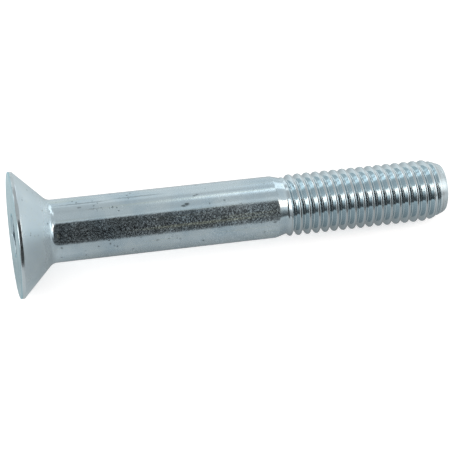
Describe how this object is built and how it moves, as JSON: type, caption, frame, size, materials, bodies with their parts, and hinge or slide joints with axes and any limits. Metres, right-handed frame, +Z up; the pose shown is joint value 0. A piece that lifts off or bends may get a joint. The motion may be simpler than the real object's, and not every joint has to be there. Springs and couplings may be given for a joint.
{
  "type": "countersunk socket screw",
  "caption": "Countersunk screw with a hexagon socket, a plain shank and a right-hand metric thread, lying on its side.",
  "frame": {"origin": "middle of the outer box's underside, on the surface that the screw lies on, where the rim of its head and the crest of its last thread touch it", "axes": "+Z up, +X from the head to the point, level; the screw's own axis falls about 4.2 degrees from head to point in the XZ plane"},
  "size_m": [0.0708, 0.02, 0.0199],
  "materials": {
    "zinc_plated_steel": "bright zinc plate with a pale blue passivation, glossy on the plain shank and slightly grained on the rolled thread"
  },
  "bodies": {
    "root": {"screw": "zinc_plated_steel"}
  },
  "joints": []
}
